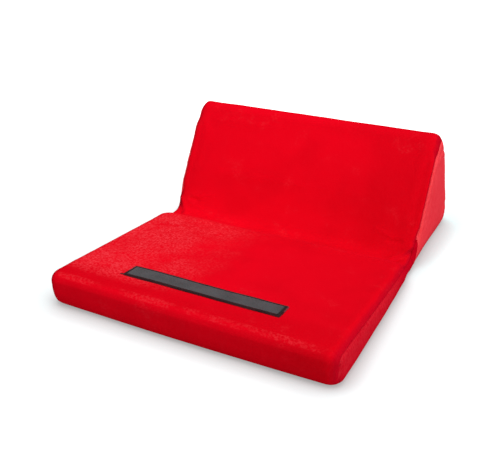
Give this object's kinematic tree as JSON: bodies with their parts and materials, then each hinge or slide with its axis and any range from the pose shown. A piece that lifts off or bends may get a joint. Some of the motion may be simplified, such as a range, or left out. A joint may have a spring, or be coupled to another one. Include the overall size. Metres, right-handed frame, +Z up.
{
  "type": "reading pillow",
  "caption": "Reading pillow: a low foam pad and a triangular foam wedge in one sewn velour cover, with a fastening tape sewn across the pad; a book rests in the angle between them.",
  "frame": {"origin": "centre of the footprint, on the surface that carries the pillow", "axes": "+Z up, +Y from the reader's edge of the pad towards the back of the wedge, +X to the reader's right"},
  "size_m": [0.32, 0.4012, 0.1391],
  "materials": {
    "velour": "matte",
    "foam": "matte",
    "tape": "matte",
    "thread": "satin"
  },
  "bodies": {
    "root": {"cover_top_panel": "velour", "cover_base_panel": "velour", "pad_side_panel_left": "velour", "pad_side_panel_right": "velour", "wedge_side_panel_left": "velour", "wedge_side_panel_right": "velour", "pad_foam": "foam", "wedge_foam": "foam", "fastening_tape": "tape", "tape_stitching": "thread"}
  },
  "joints": []
}
